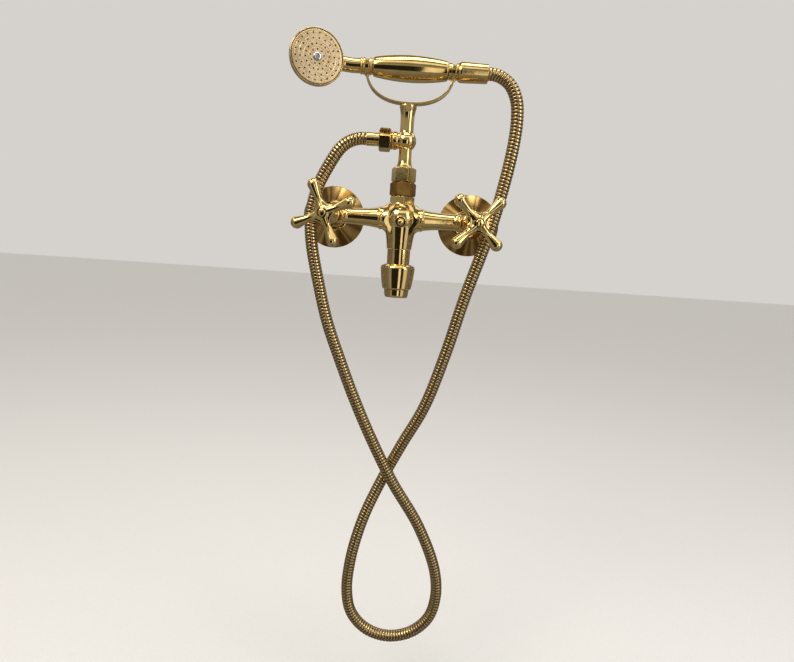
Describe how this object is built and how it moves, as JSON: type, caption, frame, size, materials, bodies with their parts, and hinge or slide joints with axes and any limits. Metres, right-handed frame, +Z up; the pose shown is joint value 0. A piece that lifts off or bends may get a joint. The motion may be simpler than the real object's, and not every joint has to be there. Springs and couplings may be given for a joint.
{
  "type": "wall mounted bath faucet",
  "caption": "Wall mounted bath mixer with cross handles, a tub spout, a riser with a cradle, a telephone-style hand shower and a looped metal hose, in polished brass.",
  "frame": {"origin": "on the wall plane, midway between the centres of the two wall outlets", "axes": "+Y into the wall, +Z up, +X to the right for someone facing the wall"},
  "size_m": [0.2526, 0.1154, 0.7205],
  "materials": {
    "polished_brass": "polished and lacquered",
    "satin_brass": "turned, satin",
    "dark_brass": "milled, unpolished",
    "hose_brass": "interlocked strip, satin",
    "spray_face": "turned, satin",
    "steel": "polished",
    "fibre_washer": "matt",
    "cartridge_plastic": "moulded"
  },
  "bodies": {
    "root": {"left_union_nut": "polished_brass", "right_union_nut": "polished_brass", "mixer_body": "polished_brass", "hot_bonnet": "polished_brass", "cold_bonnet": "polished_brass", "diverter_cartridge": "polished_brass", "spout_neck": "polished_brass", "spout_bell": "polished_brass", "aerator_ring": "polished_brass", "riser_union_nut": "polished_brass", "riser_tee": "polished_brass", "cradle_yoke": "polished_brass", "hose_nut": "polished_brass", "hose_inlet_ferrule": "polished_brass", "left_wall_flange": "satin_brass", "right_wall_flange": "satin_brass", "left_s_union": "satin_brass", "right_s_union": "satin_brass", "cradle_pin": "satin_brass", "riser_adapter": "dark_brass", "hose": "hose_brass", "left_inlet_washer": "fibre_washer", "right_inlet_washer": "fibre_washer", "riser_washer": "fibre_washer", "hose_washer": "fibre_washer", "hot_cartridge": "cartridge_plastic", "cold_cartridge": "cartridge_plastic", "aerator_insert": "cartridge_plastic"},
    "hot_handle": {"hot_spindle": "satin_brass", "hot_cross_handle": "polished_brass", "hot_handle_screw": "satin_brass", "hot_index_button": "polished_brass"},
    "cold_handle": {"cold_spindle": "satin_brass", "cold_cross_handle": "polished_brass", "cold_handle_screw": "satin_brass", "cold_index_button": "polished_brass"},
    "diverter_knob": {"diverter_stem": "satin_brass", "diverter_knob": "polished_brass"},
    "handset": {"handset_grip": "polished_brass", "handset_core_tube": "satin_brass", "handset_front_collar": "polished_brass", "handset_tail_collar": "polished_brass", "handset_washer": "fibre_washer", "handset_cone_nut": "polished_brass", "shower_head_shell": "polished_brass", "spray_plate": "spray_face", "spray_plate_screw": "steel", "spray_plate_seal": "fibre_washer"}
  },
  "joints": [
    {"name": "hot_handle_turn", "type": "hinge", "parent": "root", "child": "hot_handle", "pos_m": [-0.075, -0.052, 0], "axis": [-0.2079, -0.978, -0.0175], "range_deg": [0, 90]},
    {"name": "cold_handle_turn", "type": "hinge", "parent": "root", "child": "cold_handle", "pos_m": [0.075, -0.052, 0], "axis": [0.2079, -0.978, -0.0175], "range_deg": [-90, 0]},
    {"name": "diverter_pull", "type": "slide", "parent": "root", "child": "diverter_knob", "axis": [0, -0.9659, -0.2588], "range_m": [0, 0.008]},
    {"name": "handset_lift", "type": "slide", "parent": "root", "child": "handset", "axis": [0, 0, 1], "range_m": [0, 0.05]}
  ]
}
